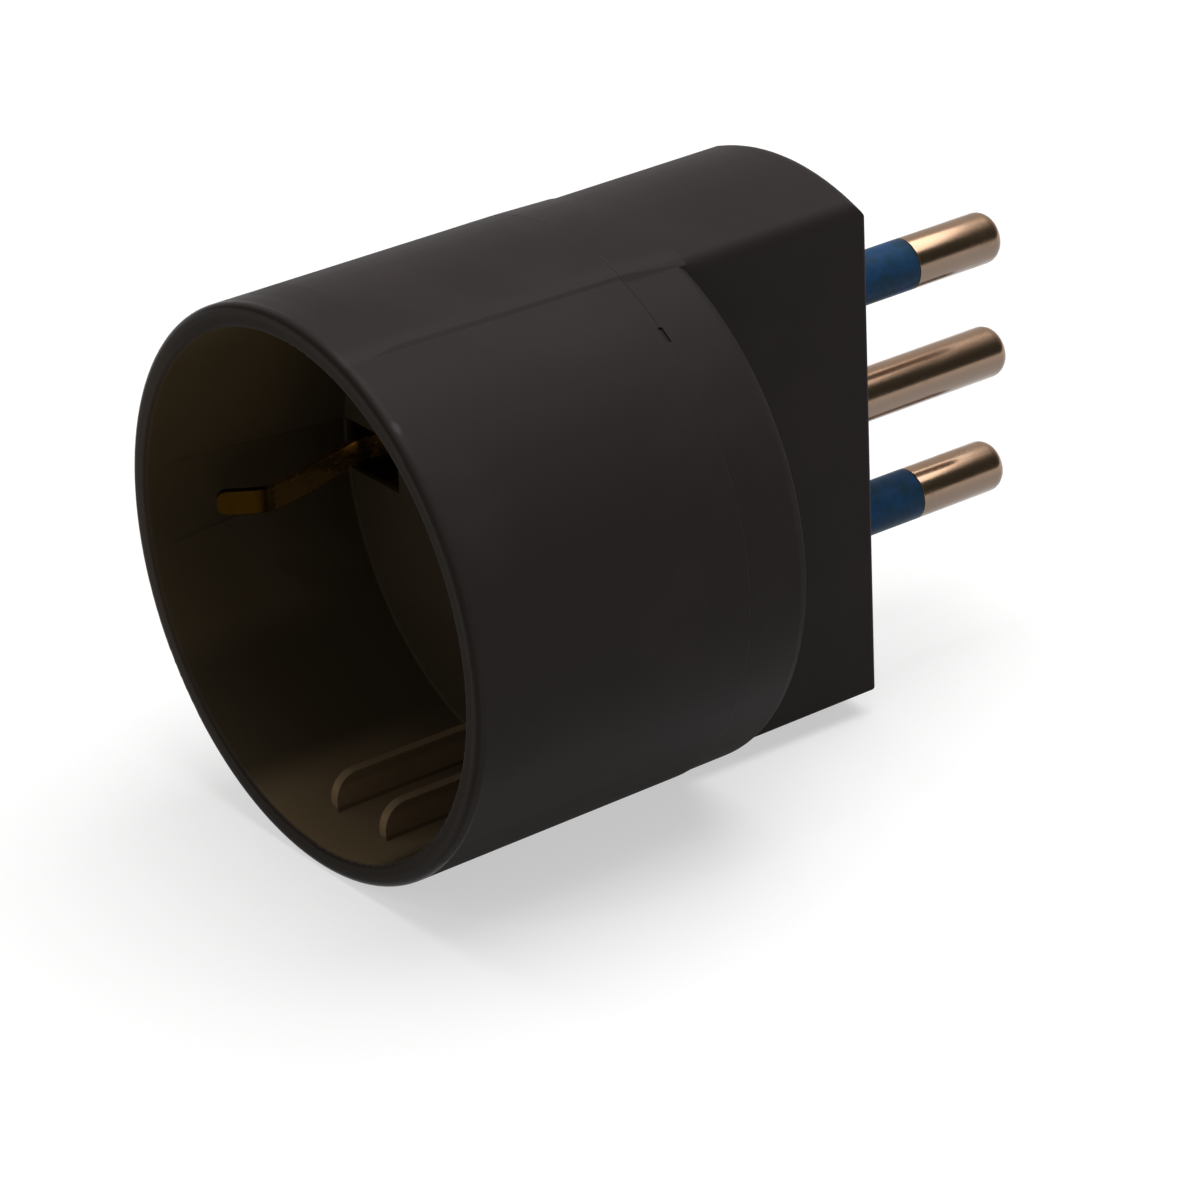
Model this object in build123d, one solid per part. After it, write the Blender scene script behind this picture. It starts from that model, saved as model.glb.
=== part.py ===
from build123d import *
import os

# A round socket adapter with a flat-sided three-pin plug on its back.
# Frame: the origin is the middle of the plug's seating face, where the earth pin leaves it.
# +Y runs along the pins, +Z is up and the socket opens towards -Y. All sizes are millimetres.

# Overall body, lengths measured back from the rim of the socket
body_length = 45.4
joint_depth = 23.6
collar_depth = 29.1

# Socket recess
recess_radius = 19.75
recess_draft = 0.2
recess_depth = 17.7
recess_corner_round = 0.2
floor_thickness = 2.2
entry_radius = 2.8
entry_chamfer = 0.7
contact_spacing = 19.0

# Outer walls, drafted so that the body slims towards the plug
rim_wall = 1.8
joint_fall = 0.13
collar_front_fall = 0.23
collar_back_fall = 0.26
rim_outer_round = 0.6
rim_inner_round = 0.35
collar_round = 1.0
joint_bevel = 0.06

# Raised strip along the top, which fades out at both ends and has slanted sides
strip_rise = 0.11
strip_end_rise = 0.03
strip_sink = 0.1
strip_lead = 4.0
strip_side_step = 1.0
strip_side_slope = 0.8

# Plug block
block_half_width = 8.2
block_low_fall = 0.25
block_low_face_fall = 0.35
block_top_back_round = 1.5
block_edge_round = 1.4
block_upright_round = 0.35
block_low_round = 0.25
block_wall = 1.7
end_wall = 2.0
boss_wall = 2.2
boss_height = 3.2

# Guide fins at the top and bottom of the recess
fin_offset = 3.05
fin_width = 0.8
fin_height = 2.6
fin_start_depth = 3.7
fin_nose_round = 1.9

# Grooves in the wall behind the earth clips, and the slots that the clips leave through
groove_depth = 0.3
groove_start_depth = 1.9
groove_mouth_half = 3.3
groove_floor_half = 2.0
slot_inner_reach = 4.8
slot_outer_reach = 1.7
slot_half_width = 2.0

# Snap joint between the two shells
skirt_step = 0.05
spigot_gap = 0.05
spigot_wall = 1.4
spigot_end_gap = 0.2
bead_height = 0.3
bead_width = 1.0
bead_setback = 1.2
bead_half_length = 4.0
bead_groove_gap = 0.06
key_width = 3.0
key_length = 3.0
key_gap = 0.1
notch_angle = 54.0
notch_width = 1.3
notch_length = 0.4
notch_cut = 0.25
collar_wall = 2.0

# Plug pins
pin_radius = 2.0
line_pin_length = 18.6
earth_pin_length = 19.0
pin_tip_round = 1.1
pin_hole_gap = 0.03
pin_root_relief = 0.2
flange_step = 1.25
flange_thickness = 1.2
tail_radius = 1.3
tail_gap = 0.03
rivet_head_radius = 2.1
rivet_head_height = 0.7
rivet_head_round = 0.4
sleeve_length = 10.2
sleeve_embed = 3.0
sleeve_wall = 0.5
sleeve_gap = 0.02

# Tulip contacts
metal = 0.6
contact_plate_side_gap = 0.6
contact_plate_height = 7.0
leaf_width = 5.0
leaf_grip_half_gap = 2.45
leaf_root_length = 4.0
leaf_root_bulge = 0.25
leaf_mouth_flare = 0.65
leaf_mouth_gap = 1.4
leaf_grip_length = 2.8
leaf_mouth_length = 1.8
leaf_bend = 0.64
spring_metal = 0.4
spring_width = 2.0
spring_side_gap = 0.35
spring_corner = 0.64
spring_slit = 1.0

# Contact carrier
carrier_side_gap = 0.2
carrier_plate = 1.3
carrier_wall = 1.2
carrier_leaf_gap = 0.1
carrier_hole_step = 0.2

# Earth strap and its two clips
strap_half_width = 2.0
strap_pad_radius = 3.2
strap_leg_gap = 1.3
strap_fold = 1.2
strap_overlap = 2.0
clip_half_width = 0.92
clip_tip_round = 0.7
clip_root_gap = 0.25
clip_root_depth = 17.2
clip_belly_step = 2.1
clip_belly_depth = 10.6
clip_knee_step = 2.65
clip_knee_depth = 7.5
clip_tip_step = 0.6
clip_tip_depth = 4.5
clip_fold = 2.0

# Helper sizes: how far cutters pass a face, how far joined pieces bite into each other,
# and how close a place has to be to count as the same one
past = 1.0
bite = 0.5
same = 0.01

# Radii worked out from the recess outwards
recess_floor_radius = recess_radius - recess_draft
rim_radius = recess_radius + rim_wall
joint_radius = rim_radius - joint_fall
collar_front_radius = rim_radius - collar_front_fall
collar_back_radius = rim_radius - collar_back_fall
strip_front_radius = rim_radius + strip_rise
strip_joint_radius = joint_radius + strip_rise
block_top_radius = collar_back_radius + strip_end_rise
strip_half_width = block_half_width - strip_side_step
block_low_radius = rim_radius - block_low_fall
block_low_face_radius = rim_radius - block_low_face_fall
skirt_radius = recess_radius + skirt_step
spigot_outer_radius = skirt_radius - spigot_gap
spigot_inner_radius = spigot_outer_radius - spigot_wall
boss_radius = pin_radius + boss_wall
pin_root_radius = pin_radius - pin_root_relief
flange_radius = pin_radius + flange_step

# Places along Y worked out from the sizes above
rim_y = -body_length
joint_y = joint_depth - body_length
collar_y = collar_depth - body_length
collar_inner_y = collar_y - collar_wall
floor_y = recess_depth - body_length
floor_back_y = floor_y + floor_thickness
spigot_y = floor_back_y + spigot_end_gap
bead_y = joint_y - bead_setback
boss_y = -end_wall - boss_height
plate_back_y = boss_y - flange_thickness
plate_front_y = plate_back_y - metal
plate_middle_y = (plate_back_y + plate_front_y) / 2
carrier_back_y = floor_back_y + carrier_plate

# Sizes of the inner pieces, fitted to the space and to each other
pin_height = contact_spacing / 2
cavity_half_width = block_half_width - block_wall
carrier_half_width = cavity_half_width - carrier_side_gap
carrier_hole_radius = entry_radius + carrier_hole_step
contact_plate_half = cavity_half_width - contact_plate_side_gap
leaf_grip_offset = leaf_grip_half_gap + metal / 2
leaf_root_offset = leaf_grip_offset + leaf_root_bulge
leaf_mouth_offset = leaf_grip_offset + leaf_mouth_flare
leaf_mouth_y = carrier_back_y + leaf_mouth_gap
leaf_grip_start_y = leaf_mouth_y + leaf_mouth_length
leaf_grip_end_y = leaf_grip_start_y + leaf_grip_length
chamber_half_height = leaf_mouth_offset + metal / 2 + carrier_leaf_gap + carrier_wall
strap_leg_x = cavity_half_width - strap_leg_gap - metal / 2
strap_arm_y = carrier_back_y + metal / 2
clip_root_x = spigot_inner_radius - clip_root_gap - metal / 2
clip_belly_x = clip_root_x - clip_belly_step
clip_knee_x = clip_root_x - clip_knee_step
clip_tip_x = clip_root_x - clip_tip_step
slot_inner_radius = clip_root_x - slot_inner_reach
slot_outer_radius = clip_root_x + slot_outer_reach


def at_depth(depth):
    """Y of a point that lies this far behind the rim."""
    return depth - body_length


def outline(points, rounds=()):
    """Flat face through the points, with some of its corners rounded."""
    face = make_face(Polyline(*points, close=True))
    for corner, radius in rounds:
        target = Vector(*corner)
        vertex = face.vertices().sort_by(lambda v: (Vector(v) - target).length)[0]
        face = fillet(vertex, radius)
    return face


def turned(points, rounds=()):
    """Solid of revolution about Y from points given as (radius, y)."""
    return revolve(outline(points, rounds), Axis.Y)


def rod(radius, y_start, y_end, x=0.0, z=0.0):
    """Round bar along Y."""
    length = y_end - y_start
    return Pos(x, (y_start + y_end) / 2, z) * Rot(X=90) * Cylinder(radius, length)


def slab(x_range, y_range, z_range):
    """Box between two values along each axis."""
    lows = [values[0] for values in (x_range, y_range, z_range)]
    highs = [values[1] for values in (x_range, y_range, z_range)]
    middle = [(low + high) / 2 for low, high in zip(lows, highs)]
    return Pos(*middle) * Box(*[high - low for low, high in zip(lows, highs)])


def top_sector():
    """Prism over the top of the body, whose sides slant through the raised strip's edges."""
    edge_z = (strip_front_radius ** 2 - strip_half_width ** 2) ** 0.5
    reach = strip_front_radius + past
    top_half = strip_half_width - (reach - edge_z) / strip_side_slope
    low_half = strip_half_width + past
    low_z = edge_z - past * strip_side_slope
    right = [(low_half, 0), (low_half, low_z), (top_half, reach)]
    left = [(-x, z) for x, z in reversed(right)]
    face = outline(right + left)
    return Pos(0, (rim_y + collar_y) / 2, 0) * extrude(Plane.XZ * face, body_length, both=True)


def joint_notches():
    """Two small release slots that straddle the joint line, on opposite sides of the body."""
    notches = []
    for angle in (notch_angle, notch_angle + 180):
        block = Box(2 * notch_cut, notch_length, notch_width)
        notches.append(Rot(Y=-angle) * Pos(joint_radius, joint_y, 0) * block)
    return Compound(children=notches)


def cup():
    """Front cup with its floor and skirt."""
    corners = [
        (0, floor_y),
        (recess_floor_radius, floor_y),
        (recess_radius, rim_y),
        (rim_radius, rim_y),
        (joint_radius, joint_y - joint_bevel),
        (joint_radius - joint_bevel, joint_y),
        (skirt_radius, joint_y),
        (skirt_radius, floor_back_y),
        (0, floor_back_y),
    ]
    rounds = [
        ((recess_floor_radius, floor_y), recess_corner_round),
        ((recess_radius, rim_y), rim_inner_round),
        ((rim_radius, rim_y), rim_outer_round),
    ]
    return turned(corners, rounds)


def front_strip():
    """Front part of the raised strip, which rises out of the wall behind the rim's rounding."""
    start_y = rim_y + rim_outer_round
    root_radius = (skirt_radius + rim_radius) / 2
    strip = turned(
        [
            (root_radius, start_y),
            (rim_radius - strip_sink, start_y),
            (strip_front_radius, start_y + strip_lead),
            (strip_joint_radius, joint_y - joint_bevel),
            (strip_joint_radius - joint_bevel, joint_y),
            (root_radius, joint_y),
        ]
    )
    return strip & top_sector()


def guide_fin(x, side):
    """Thin fin along the recess wall, on the top (side 1) or the bottom (side -1)."""
    wall_z = (recess_floor_radius ** 2 - x ** 2) ** 0.5
    crest_z = wall_z - fin_height
    root_z = recess_radius + bite
    start_y = at_depth(fin_start_depth)
    face = outline(
        [
            (start_y, root_z),
            (start_y, crest_z),
            (floor_y + bite, crest_z),
            (floor_y + bite, root_z),
        ],
        [((start_y, crest_z), fin_nose_round)],
    )
    fin = extrude(Plane.YZ * face, fin_width / 2, both=True)
    fin = Pos(x, 0, 0) * fin
    return fin if side > 0 else mirror(fin, Plane.XY)


def clip_groove(side):
    """Tapered groove beside one earth clip, which runs out in the recess wall before the rim."""
    start_y = at_depth(groove_start_depth)
    face = make_face(
        Polyline(
            (start_y, -groove_mouth_half),
            (start_y, groove_mouth_half),
            (floor_y, groove_floor_half),
            (floor_y, -groove_floor_half),
            close=True,
        )
    )
    mouth_x = (recess_radius ** 2 - groove_mouth_half ** 2) ** 0.5
    depth_line = outline(
        [
            (slot_inner_radius, start_y),
            (mouth_x, start_y),
            (recess_floor_radius + groove_depth, floor_y),
            (slot_inner_radius, floor_y),
        ]
    )
    cutter = extrude(Plane.YZ * face, recess_radius + past)
    cutter &= extrude(depth_line, groove_mouth_half + past, both=True)
    return cutter if side > 0 else mirror(cutter, Plane.YZ)


def entry_hole():
    """Cutter for one entry hole with its chamfered mouth, at z = 0."""
    mouth = turned(
        [
            (0, floor_y),
            (entry_radius + entry_chamfer, floor_y),
            (entry_radius, floor_y + entry_chamfer),
            (0, floor_y + entry_chamfer),
        ]
    )
    return rod(entry_radius, floor_y - past, floor_back_y + past) + mouth


def bead_groove():
    """Ring cutter for the groove that the snap beads spring into."""
    half = bead_width / 2 + bead_groove_gap
    ring = rod(skirt_radius + bead_height + bead_groove_gap, bead_y - half, bead_y + half)
    return ring - rod(skirt_radius - bite, bead_y - half, bead_y + half)


def front_shell():
    """Socket cup: wall, floor, fins, clip grooves, entry holes and the skirt of the snap joint."""
    shell = cup() + front_strip()
    for x in (-fin_offset, fin_offset):
        for side in (-1, 1):
            shell += guide_fin(x, side)
    shell += slab(
        (-key_width / 2, key_width / 2),
        (floor_back_y - bite, floor_back_y + key_length),
        (-skirt_radius - bite, -spigot_inner_radius),
    )
    for height in (-pin_height, pin_height):
        shell -= Pos(0, 0, height) * entry_hole()
    for side in (-1, 1):
        ends = sorted((side * slot_inner_radius, side * slot_outer_radius))
        slot_y = (floor_y - past, floor_back_y + past)
        shell -= slab(ends, slot_y, (-slot_half_width, slot_half_width))
        shell -= clip_groove(side)
    shell -= bead_groove()
    shell -= joint_notches()
    return shell


def plug_block():
    """Flat-sided block with a round top and bottom and sharp edges, before it is hollowed."""
    start_y = collar_y - past
    top = turned(
        [
            (0, start_y),
            (block_top_radius, start_y),
            (block_top_radius, 0),
            (0, 0),
        ],
    )
    low = turned(
        [
            (0, start_y),
            (block_low_radius, start_y),
            (block_low_face_radius, 0),
            (0, 0),
        ],
    )
    reach = block_top_radius + past
    sides = (-block_half_width, block_half_width)
    top &= slab(sides, (start_y, 0), (0, reach))
    low &= slab(sides, (start_y, 0), (-reach, 0))
    return top + low


def block_edge_cutters():
    """Cutters that round the top's back edge and the two upright back edges."""
    reach = block_top_radius + past
    dome = turned(
        [
            (0, -2 * block_top_back_round),
            (block_top_radius, -2 * block_top_back_round),
            (block_top_radius, 0),
            (0, 0),
        ],
        [((block_top_radius, 0), block_top_back_round)],
    )
    ring = rod(reach, -block_top_back_round, past) - dome
    cutters = [ring & slab((-reach, reach), (-block_top_back_round, past), (0, reach))]
    middle_x = block_half_width - block_upright_round
    for side in (-1, 1):
        ends = sorted((side * middle_x, side * (block_half_width + past)))
        corner = slab(ends, (-block_upright_round, past), (-reach, reach))
        middle = Pos(side * middle_x, -block_upright_round, 0)
        cutters.append(corner - middle * Cylinder(block_upright_round, 4 * reach))
    return cutters


def rounded_block():
    """Plug block with rounded top and upright edges and a slightly broken bottom edge."""
    block = plug_block()
    hidden_y = collar_y - past + bite
    along = [edge for edge in block.edges() if abs(edge.center().X) > block_half_width - same]
    top_sides = [edge for edge in along if edge.center().Z > block_half_width]
    block = fillet(top_sides, block_edge_round)
    for cutter in block_edge_cutters():
        block -= cutter
    low_z = -(block_low_face_radius ** 2 - block_half_width ** 2) ** 0.5
    low = [edge for edge in block.edges() if edge.center().Z < low_z + 2 * bite]
    low = [edge for edge in low if edge.center().Y > hidden_y]
    return fillet(low, block_low_round)


def snap_beads():
    """Four short beads on the spigot."""
    half = bead_width / 2
    ring = rod(spigot_outer_radius + bead_height, bead_y - half, bead_y + half)
    ring -= rod(spigot_outer_radius - bite, bead_y - half, bead_y + half)
    reach = skirt_radius + past
    across = slab((-reach, reach), (rim_y, 0), (-bead_half_length, bead_half_length))
    return (ring & (Rot(Y=45) * across)) + (ring & (Rot(Y=135) * across))


def rear_shell():
    """Collar, spigot and plug block in one moulding, with bosses round the pin holes."""
    shell = turned(
        [
            (spigot_inner_radius, spigot_y),
            (spigot_outer_radius, spigot_y),
            (spigot_outer_radius, joint_y),
            (collar_front_radius - joint_bevel, joint_y),
            (collar_front_radius, joint_y + joint_bevel),
            (collar_back_radius, collar_y),
            (0, collar_y),
            (0, collar_inner_y),
            (spigot_inner_radius, collar_inner_y),
        ],
        [((collar_back_radius, collar_y), collar_round)],
    )
    strip = turned(
        [
            (spigot_outer_radius, joint_y),
            (strip_joint_radius - joint_bevel, joint_y),
            (strip_joint_radius, joint_y + joint_bevel),
            (block_top_radius, collar_y),
            (spigot_outer_radius, collar_y),
        ]
    )
    shell += strip & top_sector()
    shell += rounded_block()
    cavity = rod(block_low_face_radius - block_wall, collar_inner_y - bite, -end_wall)
    cavity &= slab(
        (-cavity_half_width, cavity_half_width),
        (collar_inner_y - past, 0),
        (-rim_radius, rim_radius),
    )
    shell -= cavity
    for height in (-pin_height, 0, pin_height):
        shell += rod(boss_radius, boss_y, -end_wall, z=height)
        shell -= rod(pin_radius + pin_hole_gap, boss_y - past, past, z=height)
    slot_half = key_width / 2 + key_gap
    shell -= slab(
        (-slot_half, slot_half),
        (spigot_y - past, floor_back_y + key_length + key_gap),
        (-spigot_outer_radius - bite, -spigot_inner_radius + bite),
    )
    shell += snap_beads()
    shell -= joint_notches()
    return shell


def plug_pin(length, neck=False):
    """Turned pin with a flange and a riveted tail, along Y at z = 0."""
    head_y = plate_front_y - rivet_head_height
    core = pin_radius - sleeve_wall
    start_y = 0
    shaft = [(pin_root_radius, boss_y), (pin_root_radius, 0)]
    if neck:
        start_y = sleeve_length
        shaft = [
            (pin_root_radius, boss_y),
            (pin_root_radius, -sleeve_embed),
            (core, -sleeve_embed),
            (core, sleeve_length),
        ]
    shaft += [(pin_radius, start_y), (pin_radius, length)]
    corners = [
        (0, head_y),
        (rivet_head_radius, head_y),
        (rivet_head_radius, plate_front_y),
        (tail_radius, plate_front_y),
        (tail_radius, plate_back_y),
        (flange_radius, plate_back_y),
        (flange_radius, boss_y),
        *shaft,
        (0, length),
    ]
    rounds = [
        ((pin_radius, length), pin_tip_round),
        ((rivet_head_radius, head_y), rivet_head_round),
    ]
    return turned(corners, rounds)


def pin_sleeve():
    """Insulating sleeve round the neck of an outer pin."""
    core = pin_radius - sleeve_wall + sleeve_gap
    return turned(
        [
            (core, -sleeve_embed + sleeve_gap),
            (pin_root_radius, -sleeve_embed + sleeve_gap),
            (pin_root_radius, 0),
            (pin_radius, 0),
            (pin_radius, sleeve_length - sleeve_gap),
            (core, sleeve_length - sleeve_gap),
        ]
    )


def tulip_contact():
    """Folded contact: a back plate on the pin and two leaves that grip the inserted pin."""
    path = FilletPolyline(
        (leaf_mouth_y, leaf_mouth_offset),
        (leaf_grip_start_y, leaf_grip_offset),
        (leaf_grip_end_y, leaf_grip_offset),
        (plate_middle_y - leaf_root_length, leaf_root_offset),
        (plate_middle_y, leaf_root_offset),
        (plate_middle_y, 0),
        radius=leaf_bend,
    )
    leaf = extrude(Plane.YZ * trace(path, metal), leaf_width / 2, both=True)
    contact = leaf + mirror(leaf, Plane.XY)
    half_height = contact_plate_height / 2
    contact += slab(
        (-contact_plate_half, contact_plate_half),
        (plate_front_y, plate_back_y),
        (-half_height, half_height),
    )
    contact -= rod(tail_radius + tail_gap, plate_front_y - past, plate_back_y + past)
    return contact


def contact_spring():
    """Steel band round the leaves where they grip, slit on one side."""
    half_height = leaf_grip_half_gap + metal
    half_width = leaf_width / 2 + spring_side_gap
    middle_y = (leaf_grip_start_y + leaf_grip_end_y) / 2
    band = (middle_y - spring_width / 2, middle_y + spring_width / 2)
    outer = slab(
        (-half_width - spring_metal, half_width + spring_metal),
        band,
        (-half_height - spring_metal, half_height + spring_metal),
    )
    outer = fillet(outer.edges().filter_by(Axis.Y), spring_corner)
    inner = slab((-half_width, half_width), band, (-half_height, half_height))
    slit = slab((0, half_width + past), band, (-spring_slit / 2, spring_slit / 2))
    return outer - inner - slit


def contact_carrier():
    """Insulating plate with two chambers that keep the live contacts off the earth strap."""
    plate_y = (floor_back_y, carrier_back_y)
    top_z = pin_height + chamber_half_height
    inner_half_width = carrier_half_width - carrier_wall
    sides = (-carrier_half_width, carrier_half_width)
    inner_sides = (-inner_half_width, inner_half_width)
    carrier = slab(sides, plate_y, (-top_z, top_z))
    for height in (-pin_height, pin_height):
        outer_z = (height - chamber_half_height, height + chamber_half_height)
        inner_z = (outer_z[0] + carrier_wall, outer_z[1] - carrier_wall)
        carrier += slab(sides, (floor_back_y, plate_front_y), outer_z)
        carrier -= slab(inner_sides, (carrier_back_y, plate_front_y + past), inner_z)
        carrier -= rod(carrier_hole_radius, floor_back_y - past, carrier_back_y + past, z=height)
    return carrier


def earth_strap():
    """One folded strip: web on the earth pin, two legs, two arms and the two socket clips."""
    wide_path = FilletPolyline(
        (0, plate_middle_y),
        (strap_leg_x, plate_middle_y),
        (strap_leg_x, strap_arm_y),
        (clip_root_x - strap_overlap, strap_arm_y),
        radius=strap_fold,
    )
    clip_path = FilletPolyline(
        (clip_root_x - strap_overlap - past, strap_arm_y),
        (clip_root_x, strap_arm_y),
        (clip_root_x, at_depth(clip_root_depth)),
        (clip_belly_x, at_depth(clip_belly_depth)),
        (clip_knee_x, at_depth(clip_knee_depth)),
        (clip_tip_x, at_depth(clip_tip_depth)),
        radius=clip_fold,
    )
    wide = extrude(trace(wide_path, metal), strap_half_width, both=True)
    clip = extrude(trace(clip_path, metal), clip_half_width, both=True)
    tip = Vector(clip_tip_x, at_depth(clip_tip_depth), 0)
    corners = [
        edge
        for edge in clip.edges()
        if (Vector(edge.center().X, edge.center().Y, 0) - tip).length < metal
        and edge.length < metal + same
        and abs(edge.center().Z) > clip_half_width - same
    ]
    clip = fillet(corners, clip_tip_round)
    half = wide + clip
    strap = half + mirror(half, Plane.YZ)
    strap += rod(strap_pad_radius, plate_front_y, plate_back_y)
    strap -= rod(tail_radius + tail_gap, plate_front_y - past, plate_back_y + past)
    return strap


def build():
    """All pieces of the adapter by name."""
    line_pin = plug_pin(line_pin_length, neck=True)
    sleeve = pin_sleeve()
    contact = tulip_contact()
    spring = contact_spring()
    upper = Pos(0, 0, pin_height)
    lower = Pos(0, 0, -pin_height)
    return {
        "front_shell": front_shell(),
        "rear_shell": rear_shell(),
        "contact_carrier": contact_carrier(),
        "line_pin": upper * line_pin,
        "neutral_pin": lower * line_pin,
        "earth_pin": plug_pin(earth_pin_length),
        "line_sleeve": upper * sleeve,
        "neutral_sleeve": lower * sleeve,
        "line_contact": upper * contact,
        "neutral_contact": lower * contact,
        "line_contact_spring": upper * spring,
        "neutral_contact_spring": lower * spring,
        "earth_strap": earth_strap(),
    }


os.makedirs("parts", exist_ok=True)
for name, piece in build().items():
    export_step(piece, f"parts/{name}.step")
    print(name, round(piece.volume, 1), "mm3", len(piece.solids()), "solid(s)")
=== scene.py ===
"""A round earthed socket adapter with an in-line three-pin plug, dressed and lit for its studio picture."""
import logging
import math
from dataclasses import dataclass, field
from enum import Enum
from typing import Any, Sequence

import bmesh
import bpy
from mathutils import Matrix, Vector


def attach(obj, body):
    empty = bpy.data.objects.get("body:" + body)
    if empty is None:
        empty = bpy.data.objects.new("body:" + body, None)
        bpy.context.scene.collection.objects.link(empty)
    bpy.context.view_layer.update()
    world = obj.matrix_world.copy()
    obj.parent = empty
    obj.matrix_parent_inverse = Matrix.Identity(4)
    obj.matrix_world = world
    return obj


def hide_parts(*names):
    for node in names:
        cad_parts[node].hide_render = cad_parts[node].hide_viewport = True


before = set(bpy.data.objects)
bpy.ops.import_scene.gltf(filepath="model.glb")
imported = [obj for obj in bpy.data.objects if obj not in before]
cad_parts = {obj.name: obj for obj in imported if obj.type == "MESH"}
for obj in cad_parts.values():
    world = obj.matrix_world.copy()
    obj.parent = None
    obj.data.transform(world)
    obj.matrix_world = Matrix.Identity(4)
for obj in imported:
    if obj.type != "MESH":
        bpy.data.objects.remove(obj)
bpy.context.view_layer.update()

MM = 0.001
log = logging.getLogger("adapter")

Number = float | int
Colour = tuple[float, float, float]
Point = tuple[float, float, float]
Span = tuple[float, float]
WHITE = (1.0, 1.0, 1.0, 1.0)
BEVEL_SAMPLES = 6


class Operation(Enum):
    """Maths that a wire can do with another wire or a number."""

    ADD = "ADD"
    SUBTRACT = "SUBTRACT"
    MULTIPLY = "MULTIPLY"
    POWER = "POWER"
    LARGER = "MAXIMUM"
    ABOVE = "GREATER_THAN"
    BELOW = "LESS_THAN"


class Space(Enum):
    """Coordinates that a pattern may be laid out in."""

    OBJECT = "Object"
    DIRECTION = "Generated"


@dataclass(frozen=True)
class Step:
    """A smooth step along a coordinate, in millimetres: 0 at start and 1 at end."""

    start: float
    end: float


@dataclass(frozen=True)
class Pattern:
    """A noise pattern.

    Attributes:
        scale: cells to the metre.
        detail: octaves.
        roughness: how strong the finer octaves are.
        bend: distortion.
        along: how densely it runs along each axis, or None where that is even.
    """

    scale: float
    detail: float = 3.0
    roughness: float = 0.5
    bend: float = 0.0
    along: Point | None = None


@dataclass(frozen=True)
class Relief:
    """A bump.

    Attributes:
        depth: how far 1 stands out, in millimetres.
        strength: share of the effect.
        edge: radius in millimetres to which the light rounds the edges, or 0.
    """

    depth: float
    strength: float = 0.5
    edge: float = 0.0


class Wire:
    """A socket that gives a value, which Python's operators can work on."""

    def __init__(self, graph: "Graph", socket: bpy.types.NodeSocket) -> None:
        """Keeps the socket.

        Args:
            graph: the graph that the socket's node is in.
            socket: the output socket.
        """
        self.graph = graph
        self.socket = socket

    def _with(self, operation: Operation, left: "Wire | Number", right: "Wire | Number") -> "Wire":
        """One Math node on two values."""
        return self.graph.node("ShaderNodeMath", {"operation": operation.value}, {0: left, 1: right})["Value"]

    def __add__(self, other: "Wire | Number") -> "Wire":
        """self + other."""
        return self._with(Operation.ADD, self, other)

    def __radd__(self, other: Number) -> "Wire":
        """other + self."""
        return self._with(Operation.ADD, other, self)

    def __sub__(self, other: "Wire | Number") -> "Wire":
        """self - other."""
        return self._with(Operation.SUBTRACT, self, other)

    def __rsub__(self, other: Number) -> "Wire":
        """other - self."""
        return self._with(Operation.SUBTRACT, other, self)

    def __mul__(self, other: "Wire | Number") -> "Wire":
        """self * other."""
        return self._with(Operation.MULTIPLY, self, other)

    def __pow__(self, other: "Wire | Number") -> "Wire":
        """self ** other."""
        return self._with(Operation.POWER, self, other)

    def __gt__(self, other: "Wire | Number") -> "Wire":
        """1 where self is above other, or else 0."""
        return self._with(Operation.ABOVE, self, other)

    def __lt__(self, other: "Wire | Number") -> "Wire":
        """1 where self is below other, or else 0."""
        return self._with(Operation.BELOW, self, other)

    def larger(self, other: "Wire | Number") -> "Wire":
        """The larger of self and other."""
        return self._with(Operation.LARGER, self, other)

    def swing(self, amount: float) -> "Wire":
        """Noise from 0 to 1 made to run from half the amount below 0 to half the amount above it."""
        return (self - 0.5) * amount


@dataclass(frozen=True)
class Spot:
    """Where a point lies: its distance from the adapter's axis and its coordinates, in metres."""

    radius: Wire
    x: Wire
    y: Wire
    z: Wire


class Outputs:
    """The outputs of one node, by name."""

    def __init__(self, graph: "Graph", node: bpy.types.Node) -> None:
        """Keeps the node.

        Args:
            graph: the graph that the node is in.
            node: the node.
        """
        self.graph = graph
        self.node = node

    def __getitem__(self, name: str | int) -> Wire:
        """The output of that name or number."""
        return Wire(self.graph, self.node.outputs[name])


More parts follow.
